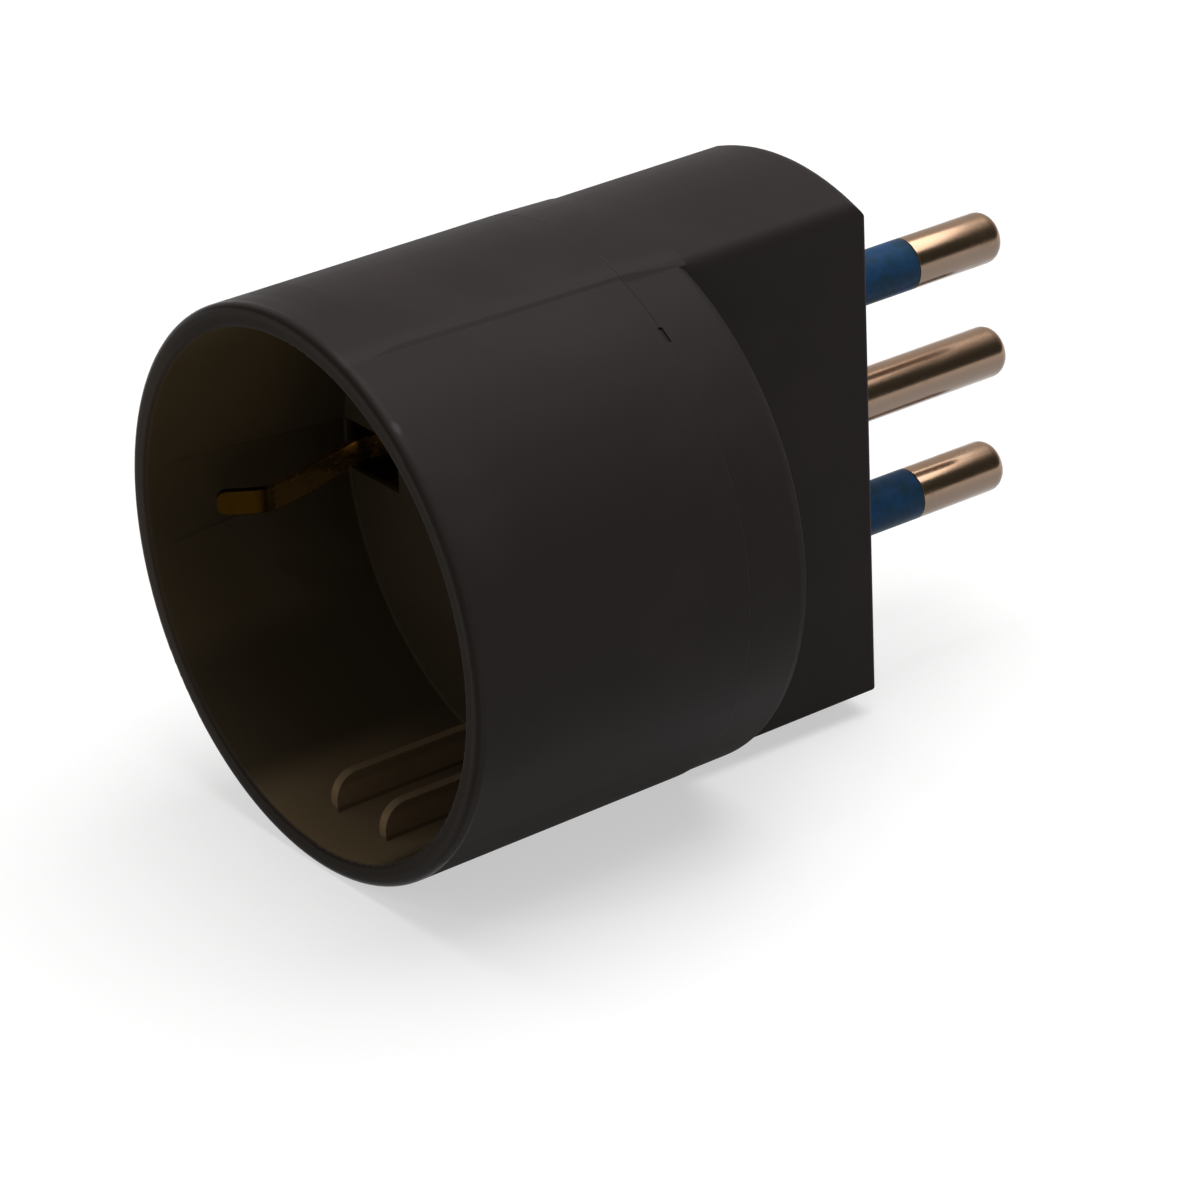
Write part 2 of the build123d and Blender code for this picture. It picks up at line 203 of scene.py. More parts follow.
class Graph:
    """A shader graph that is written as Python expressions.

    Attributes:
        mix_inputs: numbers of the factor and the two colours among a Mix node's inputs.
        mix_output: number of the mixed colour among its outputs.
    """

    mix_inputs: tuple[int, int, int] = (0, 6, 7)
    mix_output: int = 2

    def __init__(self, tree: bpy.types.NodeTree) -> None:
        """Empties the tree.

        Args:
            tree: the node tree of a material or of the world.
        """
        self.tree = tree
        tree.nodes.clear()

    def node(
        self, kind: str, settings: dict[str, Any] | None = None, inputs: dict[Any, Any] | None = None
    ) -> Outputs:
        """Adds any node.

        Args:
            kind: the node's type name.
            settings: the node's own properties, which are set first.
            inputs: wires or values for its sockets, by name or number.

        Returns:
            The node's outputs.
        """
        made = self.tree.nodes.new(kind)
        for name, value in (settings or {}).items():
            setattr(made, name, value)
        for name, value in (inputs or {}).items():
            if isinstance(value, Wire):
                self.tree.links.new(value.socket, made.inputs[name])
            else:
                made.inputs[name].default_value = value
        return Outputs(self, made)

    def place(self, space: Space = Space.OBJECT) -> Wire:
        """Coordinates, in metres on a piece, or as a direction in the world."""
        return self.node("ShaderNodeTexCoord")[space.value]

    def stretched(self, vector: Wire, scale: Sequence[float]) -> Wire:
        """Coordinates scaled along each axis."""
        return self.node("ShaderNodeMapping", {}, {"Vector": vector, "Scale": tuple(scale)})["Vector"]

    def split(self, vector: Wire) -> tuple[Wire, Wire, Wire]:
        """The three parts of a vector."""
        parts = self.node("ShaderNodeSeparateXYZ", {}, {"Vector": vector})
        return parts["X"], parts["Y"], parts["Z"]

    def mix(self, share: Wire | Number, first: Wire | Colour, second: Wire | Colour) -> Wire:
        """A colour between two others.

        Args:
            share: 0 for the first, 1 for the second.
            first: a colour.
            second: a colour.

        Returns:
            The mixed colour.
        """
        made = self.node("ShaderNodeMix", {"data_type": "RGBA", "blend_type": "MIX", "clamp_factor": True})
        for number, value in zip(self.mix_inputs, (share, first, second)):
            socket = made.node.inputs[number]
            if isinstance(value, Wire):
                self.tree.links.new(value.socket, socket)
            elif isinstance(value, tuple):
                socket.default_value = (*value, 1.0)
            else:
                socket.default_value = value
        return made[self.mix_output]

    def noise(self, vector: Wire, pattern: Pattern) -> Wire:
        """Noise from 0 to 1.

        Args:
            vector: where the pattern is read.
            pattern: the pattern.

        Returns:
            The noise.
        """
        if pattern.along:
            vector = self.stretched(vector, pattern.along)
        inputs = {
            "Vector": vector,
            "Scale": pattern.scale,
            "Detail": pattern.detail,
            "Roughness": pattern.roughness,
            "Distortion": pattern.bend,
        }
        return self.node("ShaderNodeTexNoise", {"noise_dimensions": "3D"}, inputs)[0]

    def band(self, value: Wire, start: float, end: float, low: float = 0.0, high: float = 1.0) -> Wire:
        """A smooth step: low at start and before it, high at end and past it."""
        made = self.node(
            "ShaderNodeMapRange",
            {"interpolation_type": "SMOOTHSTEP", "clamp": True},
            {"Value": value, "From Min": start, "From Max": end, "To Min": low, "To Max": high},
        )
        return made[0]

    def step(self, value: Wire, edges: Step, high: float = 1.0) -> Wire:
        """A smooth step that is given in millimetres.

        Args:
            value: the coordinate, in metres.
            edges: where the step starts and ends.
            high: the value at its end.

        Returns:
            0 at the start and before it, high at the end and past it.
        """
        return self.band(value, edges.start * MM, edges.end * MM, 0.0, high)

    def at(self) -> Spot:
        """Where the point that is shaded lies."""
        x, y, z = self.split(self.place())
        return Spot((x * x + z * z) ** 0.5, x, y, z)

    def bump(self, height: Wire, relief: Relief) -> Wire:
        """A normal with a relief on it.

        Args:
            height: the relief's height, about 0 to 1.
            relief: its depth, strength and rounded edges.

        Returns:
            The normal.
        """
        inputs: dict[str, Any] = {
            "Height": height,
            "Distance": relief.depth * MM,
            "Strength": relief.strength,
        }
        if relief.edge:
            bevel = self.node("ShaderNodeBevel", {"samples": BEVEL_SAMPLES}, {"Radius": relief.edge * MM})
            inputs["Normal"] = bevel["Normal"]
        return self.node("ShaderNodeBump", {}, inputs)["Normal"]


@dataclass(frozen=True)
class Finish:
    """What every finish has: a name, and a way to build its material."""

    name: str

    def graph(self) -> tuple[bpy.types.Material, Graph]:
        """A new empty material and its graph."""
        material = bpy.data.materials.new(self.name)
        material.use_nodes = True
        return material, Graph(material.node_tree)

    def close(self, graph: Graph, **sockets: Any) -> None:
        """Ends the graph in one surface shader.

        Args:
            graph: the graph.
            **sockets: values or wires of the surface's sockets, with _ for a space.
        """
        values = {name.replace("_", " "): value for name, value in sockets.items()}
        for name, value in values.items():
            if isinstance(value, tuple):
                values[name] = (*value, 1.0)
        surface = graph.node("ShaderNodeBsdfPrincipled", {}, values)
        graph.node("ShaderNodeOutputMaterial", {}, {"Surface": surface["BSDF"]})


@dataclass(frozen=True)
class ShellPlastic(Finish):
    """Near-black moulded plastic with a faint skin, brownish in the depth of the recess, with painted light
    and shade in its colour: on the underside, rim, joint line, flat strip's edge and recess.

    Its tones change by place. A name that ends in x, y or z tells where along that axis, and one that ends in
    r how far from the adapter's axis, in millimetres. The squeeze narrows the painted rim highlight along y.
    """

    outside: Colour = (0.0282, 0.0227, 0.0231)
    cloudy: Colour = (0.0328, 0.0263, 0.0262)
    # Painted shade on the underside, and on the lower half of each pin.
    painted_shade_below: Colour = (0.0195, 0.0155, 0.0140)
    # Painted light in the joint's groove, lighter on top.
    joint_painted_light: Colour = (0.0370, 0.0300, 0.0296)
    joint_painted_light_top: Colour = (0.0450, 0.0362, 0.0358)
    # Painted light on the flat strip's sloped edge, which lessens its shading line.
    strip_edge_painted_light: Colour = (0.0335, 0.0271, 0.0275)
    # Painted highlight on the rim's outer edge.
    rim_painted_highlight: Colour = (0.0520, 0.0475, 0.0530)
    # Recess colours: painted lighter than the outside, with painted shade on the lower wall, in the depth and
    # in the slots, and painted light on the upper wall, bottom, fins and crests.
    lower_wall_painted_shade: Colour = (0.0345, 0.0250, 0.0138)
    inside: Colour = (0.0540, 0.0385, 0.0210)
    upper_wall_painted_light: Colour = (0.0860, 0.0600, 0.0300)
    bottom_painted_light: Colour = (0.0950, 0.0670, 0.0370)
    deep: Colour = (0.0310, 0.0232, 0.0135)
    fins_painted_light: Colour = (0.1600, 0.1080, 0.0580)
    crest_painted_light: Colour = (0.1150, 0.0800, 0.0440)
    slot: Colour = (0.0060, 0.0040, 0.0025)
    # Painted shade on the rim face, with painted light on its left part.
    rim: Colour = (0.0150, 0.0112, 0.0084)
    rim_left_painted_light: Colour = (0.0260, 0.0180, 0.0120)

    side_x: float = 8.4
    shade_below_z: Step = Step(-7.0, -18.0)
    shade_below_front_y: float = -44.7
    ledge_in_x: Step = Step(5.8, 6.9)
    ledge_out_x: Step = Step(7.6, 7.4)
    ledge_back_y: float = -16.3
    rim_highlight_place: Point = (12.8, -44.8, 17.4)
    rim_highlight_reach: Step = Step(0.75, 0.25)
    rim_highlight_squeeze: float = 4.0
    ridge_y: Step = Step(-17.2, -16.8)
    ridge_back_y: float = -16.2
    recess_r: Step = Step(20.75, 20.55)
    recess_y: Step = Step(-24.2, -24.7)
    upper_z: Step = Step(-3.0, 9.0)
    lower_z: Step = Step(-9.0, -12.5)
    bottom_z: Step = Step(-17.2, -18.9)
    deep_y: Step = Step(-36.7, -27.7)
    deep_share: float = 0.8
    fins_r: Step = Step(19.5, 19.2)
    fins_z: Step = Step(-11.0, -13.0)
    fins_back_y: float = -27.8
    crest_r: Step = Step(17.4, 18.0)
    slot_y: Step = Step(-27.6, -26.9)
    joint_front_y: Step = Step(-21.96, -21.88)
    joint_back_y: Step = Step(-21.64, -21.72)
    joint_open_z: Step = Step(16.8, 17.4)
    joint_open_x: float = 7.6
    seam_top_z: Step = Step(18.5, 20.0)
    face_y: Step = Step(-45.05, -45.35)
    rim_left_x: Step = Step(-10.0, -19.0)
    edge_y: Step = Step(-44.5, -45.0)
    edge_r: Step = Step(20.9, 21.2)

    clouds: Pattern = Pattern(90.0, 3.0, 0.55)
    grain: Pattern = Pattern(2600.0, 4.0, 0.6)
    skin: Pattern = Pattern(700.0, 2.0, 0.5)
    streaks: Pattern = Pattern(900.0, 3.0, 0.6, along=(1.0, 0.08, 1.0))
    cloud_edges: Span = (0.42, 0.68)
    grain_share: float = 0.35
    skin_share: float = 0.65
    relief: Relief = Relief(0.012, 0.55, 0.12)

    roughness: float = 0.46
    cloud_swing: float = 0.10
    streak_swing: float = 0.08
    recess_dulling: float = 0.10
    edge_polish: float = 0.20
    shade_dulling: float = 0.30
    shine: float = 0.04

    def _body(self, graph: Graph, at: Spot, clouds: Wire, below: Wire) -> Wire:
        """Colour of the outside, with painted shade on its underside, painted light on the flat strip's edge
        and a painted highlight at the rim.

        Args:
            graph: the material's graph.
            at: where the point lies.
            clouds: the noise of the cloudy tone.
            below: 1 on the underside, where shade is painted.

        Returns:
            The colour.
        """
        body = graph.mix(graph.band(clouds, *self.cloud_edges), self.outside, self.cloudy)
        # Painted shade on the underside.
        body = graph.mix(below, body, self.painted_shade_below)
        # Painted light on the flat strip's sloped edge.
        strip_edge_painted_light = graph.step(at.x, self.ledge_in_x) * graph.step(at.x, self.ledge_out_x)
        strip_edge_painted_light = strip_edge_painted_light * (at.z > 0.0) * (at.y < self.ledge_back_y * MM)
        body = graph.mix(strip_edge_painted_light, body, self.strip_edge_painted_light)
        # A painted highlight on the rim's outer edge, a spot narrowed along y.
        x, y, z = (part - spot * MM for part, spot in zip((at.x, at.y, at.z), self.rim_highlight_place))
        apart = (x * x + y * y * self.rim_highlight_squeeze + z * z) ** 0.5
        return graph.mix(graph.step(apart, self.rim_highlight_reach), body, self.rim_painted_highlight)

    def _lining(self, graph: Graph, at: Spot) -> Wire:
        """Colour of the recess, painted lighter than the outside, with painted light and shade by height and
        depth, painted light on its guide fins and painted shade in the slots in its floor.

        Args:
            graph: the material's graph.
            at: where the point lies.

        Returns:
            The colour.
        """
        # Painted light on the upper wall, painted shade lower down and painted light at the bottom.
        wall = graph.mix(graph.step(at.z, self.upper_z), self.inside, self.upper_wall_painted_light)
        wall = graph.mix(graph.step(at.z, self.lower_z), wall, self.lower_wall_painted_shade)
        wall = graph.mix(graph.step(at.z, self.bottom_z), wall, self.bottom_painted_light)
        # Painted shade, darker with depth.
        wall = graph.mix(graph.step(at.y, self.deep_y, self.deep_share), wall, self.deep)
        # Painted light on the guide fins and their crests.
        fin = graph.step(at.radius, self.fins_r) * graph.step(at.z, self.fins_z)
        fin = fin * (at.y < self.fins_back_y * MM)
        finned = graph.mix(graph.step(at.radius, self.crest_r), self.crest_painted_light, self.fins_painted_light)
        # Painted shade on the slots past the recess floor.
        return graph.mix(graph.step(at.y, self.slot_y), graph.mix(fin, wall, finned), self.slot)

    def _seamed(self, graph: Graph, at: Spot, skinned: Wire) -> Wire:
        """The outside with painted light along its joint line, which lightens the shade in the joint's
        groove, but for the open stretch next to the notch.

        Args:
            graph: the material's graph.
            at: where the point lies.
            skinned: the outside's colour.

        Returns:
            The colour.
        """
        line = graph.step(at.y, self.joint_front_y) * graph.step(at.y, self.joint_back_y)
        opened = graph.step(at.z, self.joint_open_z) * (at.x > self.joint_open_x * MM)
        # Painted light over the shade in the joint's groove, lighter on top.
        joint_painted_light = graph.mix(graph.step(at.z, self.seam_top_z), self.joint_painted_light, self.joint_painted_light_top)
        return graph.mix(line * (1.0 - opened), skinned, joint_painted_light)

    def material(self) -> bpy.types.Material:
        """Builds the material."""
        material, graph = self.graph()
        place, at = graph.place(), graph.at()
        clouds = graph.noise(place, self.clouds)
        grain = graph.noise(place, self.grain)
        skin = graph.noise(place, self.skin)
        streaks = graph.noise(place, self.streaks)
        side = at.x > self.side_x * MM
        # Painted shade on the lower side of the body.
        below = graph.step(at.z, self.shade_below_z) * side * (at.y > self.shade_below_front_y * MM)
        ridge = graph.step(at.y, self.ridge_y) * (at.y < self.ridge_back_y * MM) * side
        recess = graph.step(at.radius, self.recess_r) * graph.step(at.y, self.recess_y)
        edge = graph.step(at.y, self.edge_y) * graph.step(at.radius, self.edge_r)
        face = graph.step(at.y, self.face_y)
        # Painted shade on the rim face, with painted light on its left part.
        rim = graph.mix(graph.step(at.x, self.rim_left_x), self.rim, self.rim_left_painted_light)
        skinned = graph.mix(face, self._body(graph, at, clouds, below), rim)
        skinned = self._seamed(graph, at, skinned)
        rough = self.roughness + clouds.swing(self.cloud_swing) + streaks.swing(self.streak_swing)
        rough = rough + recess * self.recess_dulling - edge * self.edge_polish
        rough = rough + (ridge + below) * self.shade_dulling
        self.close(
            graph,
            Base_Color=graph.mix(recess * (1.0 - face), skinned, self._lining(graph, at)),
            Roughness=rough,
            Normal=graph.bump(grain * self.grain_share + skin * self.skin_share, self.relief),
            Specular_IOR_Level=self.shine,
        )
        return material


@dataclass(frozen=True)
class PinMetal(Finish):
    """Polished turned brass with fine rings, handling marks and a little tarnish, and painted shade on the
    lower half of each pin.
    """

    bright: Colour = (0.410, 0.266, 0.177)
    tarnish: Colour = (0.330, 0.205, 0.125)
    pale: Colour = (0.470, 0.350, 0.260)
    painted_shade_below: Colour = (0.215, 0.160, 0.125)
    pitch: float = 9.5
    shade_below_height: Step = Step(1.1, -0.1)
    clouds: Pattern = Pattern(260.0, 4.0, 0.6, 0.4)
    rings: Pattern = Pattern(5200.0, 3.0, 0.6, along=(0.05, 1.0, 0.05))
    rubs: Pattern = Pattern(1500.0, 4.0, 0.65, along=(1.0, 0.12, 1.0))
    tarnish_edges: Span = (0.5, 0.75)
    rub_edges: Span = (0.55, 0.8)
    rub_share: float = 0.6
    ring_depth: float = 0.6
    rub_depth: float = 0.4
    relief: Relief = Relief(0.006, 0.5)
    roughness: float = 0.21
    rub_swing: float = 0.14
    dull_edges: Span = (0.5, 0.8)
    dulling: float = 0.12

    def material(self) -> bpy.types.Material:
        """Builds the material."""
        material, graph = self.graph()
        place = graph.place()
        clouds = graph.noise(place, self.clouds)
        rings = graph.noise(place, self.rings)
        rubs = graph.noise(place, self.rubs)
        warm = graph.mix(graph.band(clouds, *self.tarnish_edges), self.bright, self.tarnish)
        rubbed = graph.mix(graph.band(rubs, *self.rub_edges, 0.0, self.rub_share), warm, self.pale)
        _, _, z = graph.split(place)
        pitch = self.pitch * MM
        # Height within each pin, for painted shade on its lower half.
        height = z - (z > pitch / 2) * pitch + (z < -pitch / 2) * pitch
        dulled = graph.band(clouds, *self.dull_edges, 0.0, self.dulling)
        self.close(
            graph,
            Base_Color=graph.mix(graph.step(height, self.shade_below_height), rubbed, self.painted_shade_below),
            Metallic=1.0,
            Roughness=self.roughness + rubs.swing(self.rub_swing) + dulled,
            Normal=graph.bump(rings * self.ring_depth + rubs * self.rub_depth, self.relief),
        )
        return material


@dataclass(frozen=True)
class SleevePlastic(Finish):
    """Blue insulating sleeve, mottled with darker and greener patches."""

    blue: Colour = (0.017, 0.058, 0.144)
    deep: Colour = (0.015, 0.045, 0.074)
    mottle: Pattern = Pattern(1100.0, 4.0, 0.65, 0.3)
    clouds: Pattern = Pattern(320.0, 2.0, 0.5)
    mottle_share: float = 0.5
    cloud_share: float = 0.5
    patch_edges: Span = (0.38, 0.62)
    relief: Relief = Relief(0.02, 0.5, 0.08)
    roughness: float = 0.40
    mottle_swing: float = 0.2
    shine: float = 0.05

    def material(self) -> bpy.types.Material:
        """Builds the material."""
        material, graph = self.graph()
        place = graph.place()
        mottle = graph.noise(place, self.mottle)
        clouds = graph.noise(place, self.clouds)
        patches = mottle * self.mottle_share + clouds * self.cloud_share
        self.close(
            graph,
            Base_Color=graph.mix(graph.band(patches, *self.patch_edges), self.blue, self.deep),
            Roughness=self.roughness + mottle.swing(self.mottle_swing),
            Normal=graph.bump(mottle, self.relief),
            Specular_IOR_Level=self.shine,
        )
        return material


@dataclass(frozen=True)
class StripMetal(Finish):
    """Pressed metal strip with rolling lines and dull patches, and painted shade on its front end."""

    bright: Colour = (0.86, 0.58, 0.22)
    dull: Colour = (0.42, 0.25, 0.09)
    roughness: float = 0.24
    # Painted shade on the front end, where the clip's tip lies in the recess's shade.
    tip_painted_shade: Colour = (0.0230, 0.0102, 0.0004)
    tip_shade_y: Step = Step(-36.9, -38.1)
    tip_shade_edges: Span = (0.75, 0.35)
    tip_shade_least: float = 0.99
    lines: Pattern = Pattern(2600.0, 4.0, 0.65, along=(1.0, 0.10, 1.0))
    patches: Pattern = Pattern(420.0, 4.0, 0.6, 0.5)
    dull_edges: Span = (0.45, 0.72)
    rough_edges: Span = (0.45, 0.75)
    line_swing: float = 0.2
    patch_dulling: float = 0.15
    tip_dulling: float = 0.12
    relief: Relief = Relief(0.008, 0.5, 0.06)

    def material(self) -> bpy.types.Material:
        """Builds the material."""
        material, graph = self.graph()
        place = graph.place()
        lines = graph.noise(place, self.lines)
        patches = graph.noise(place, self.patches)
        _, y, _ = graph.split(place)
        # Painted shade on the front end.
        shaded_tip = graph.step(y, self.tip_shade_y)
        clean = graph.mix(graph.band(patches, *self.dull_edges), self.bright, self.dull)
        cover = shaded_tip * graph.band(patches, *self.tip_shade_edges, self.tip_shade_least, 1.0)
        rough = self.roughness + lines.swing(self.line_swing)
        rough = rough + graph.band(patches, *self.rough_edges, 0.0, self.patch_dulling)
        self.close(
            graph,
            Base_Color=graph.mix(cover, clean, self.tip_painted_shade),
            Metallic=1.0,
            Roughness=rough + shaded_tip * self.tip_dulling,
            Normal=graph.bump(lines, self.relief),
        )
        return material


@dataclass(frozen=True)
class PaleMoulding(Finish):
    """Plain off-white moulding, with flow clouds and a matt skin."""

    light: Colour = (0.58, 0.56, 0.50)
    shade: Colour = (0.47, 0.45, 0.39)
    clouds: Pattern = Pattern(240.0, 3.0, 0.55, 0.3)
    grain: Pattern = Pattern(3200.0, 3.0, 0.6)
    cloud_edges: Span = (0.4, 0.65)
    relief: Relief = Relief(0.01, 0.5, 0.08)
    roughness: float = 0.55
    grain_swing: float = 0.2

    def material(self) -> bpy.types.Material:
        """Builds the material."""
        material, graph = self.graph()
        place = graph.place()
        clouds = graph.noise(place, self.clouds)
        grain = graph.noise(place, self.grain)
        self.close(
            graph,
            Base_Color=graph.mix(graph.band(clouds, *self.cloud_edges), self.light, self.shade),
            Roughness=self.roughness + grain.swing(self.grain_swing),
            Normal=graph.bump(grain, self.relief),
        )
        return material


@dataclass(frozen=True)
class FloorPaint(Finish):
    """Pale studio floor that shows white to the camera and keeps the soft shadow."""

    tone: Colour = (0.48, 0.48, 0.48)
    lift: float = 0.54

    def material(self) -> bpy.types.Material:
        """Builds the material."""
        material, graph = self.graph()
        rays = graph.node("ShaderNodeLightPath")
        seen = rays["Is Camera Ray"].larger(rays["Is Glossy Ray"]).larger(rays["Is Transmission Ray"])
        base = graph.node("ShaderNodeBsdfDiffuse", {}, {"Color": (*self.tone, 1.0)})
        glow = graph.node("ShaderNodeEmission", {}, {"Color": WHITE, "Strength": seen * self.lift})
        both = graph.node("ShaderNodeAddShader", {}, {0: base["BSDF"], 1: glow["Emission"]})
        graph.node("ShaderNodeOutputMaterial", {}, {"Surface": both["Shader"]})
        return material


def dress(node_name: str, material: bpy.types.Material) -> None:
    """Puts a material in every slot of a CAD node.

    Args:
        node_name: the node's name.
        material: the material.
    """
    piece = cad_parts[node_name]
    if not piece.material_slots:
        piece.data.materials.append(material)
    for slot in piece.material_slots:
        slot.material = material
    log.info("dressed %s in %s", node_name, material.name)


@dataclass
class Shells:
    """The two shell mouldings and the carrier inside them."""

    shells: Sequence[str] = ("front_shell", "rear_shell")
    carrier: str = "contact_carrier"
    plastic: ShellPlastic = field(default_factory=lambda: ShellPlastic("shell_moulding"))
    pale: PaleMoulding = field(default_factory=lambda: PaleMoulding("carrier_moulding"))

    def build(self) -> None:
        """Dresses the shells and the carrier."""
        material = self.plastic.material()
        for name in self.shells:
            dress(name, material)
        dress(self.carrier, self.pale.material())


@dataclass
class Contacts:
    """The earth strap with its two side clips, and the live contacts with their spring bands."""

    strap: str = "earth_strap"
    leaves: Sequence[str] = ("line_contact", "neutral_contact")
    bands: Sequence[str] = ("line_contact_spring", "neutral_contact_spring")
    clip_metal: StripMetal = field(default_factory=lambda: StripMetal("clip_strip"))
    leaf_metal: StripMetal = field(
        default_factory=lambda: StripMetal(
            "leaf_strip", bright=(0.80, 0.60, 0.30), dull=(0.50, 0.36, 0.18), roughness=0.3
        )
    )
    band_steel: StripMetal = field(
        default_factory=lambda: StripMetal(
            "spring_steel_band", bright=(0.60, 0.60, 0.61), dull=(0.42, 0.42, 0.44), roughness=0.28
        )
    )

    def build(self) -> None:
        """Dresses the strap, the leaves and the bands."""
        dress(self.strap, self.clip_metal.material())
        for names, finish in ((self.leaves, self.leaf_metal), (self.bands, self.band_steel)):
            material = finish.material()
            for name in names:
                dress(name, material)


@dataclass(frozen=True)
class Corner:
    """A corner of a turned piece's outline, in millimetres."""

    radius: float
    y: float
    rounding: float = 0.0


def outline(corners: Sequence[Corner], steps: int = 7) -> list[tuple[float, float]]:
    """Points of an open outline, with an arc in place of each rounded corner.

    Args:
        corners: the corners in order.
        steps: points on each arc.

    Returns:
        Points as (radius, y) in millimetres.
    """
    points: list[tuple[float, float]] = []
    for index, corner in enumerate(corners):
        here = Vector((corner.radius, corner.y))
        if not corner.rounding:
            points.append((here.x, here.y))
            continue
        before, after = corners[index - 1], corners[index + 1]
        back = (Vector((before.radius, before.y)) - here).normalized()
        on = (Vector((after.radius, after.y)) - here).normalized()
        half = back.angle(on) / 2
        middle = here + (back + on).normalized() * (corner.rounding / math.sin(half))
        first = (here + back * (corner.rounding / math.tan(half)) - middle).normalized()
        last = (here + on * (corner.rounding / math.tan(half)) - middle).normalized()
        for step in range(steps):
            point = middle + first.slerp(last, step / (steps - 1)) * corner.rounding
            points.append((point.x, point.y))
    return points


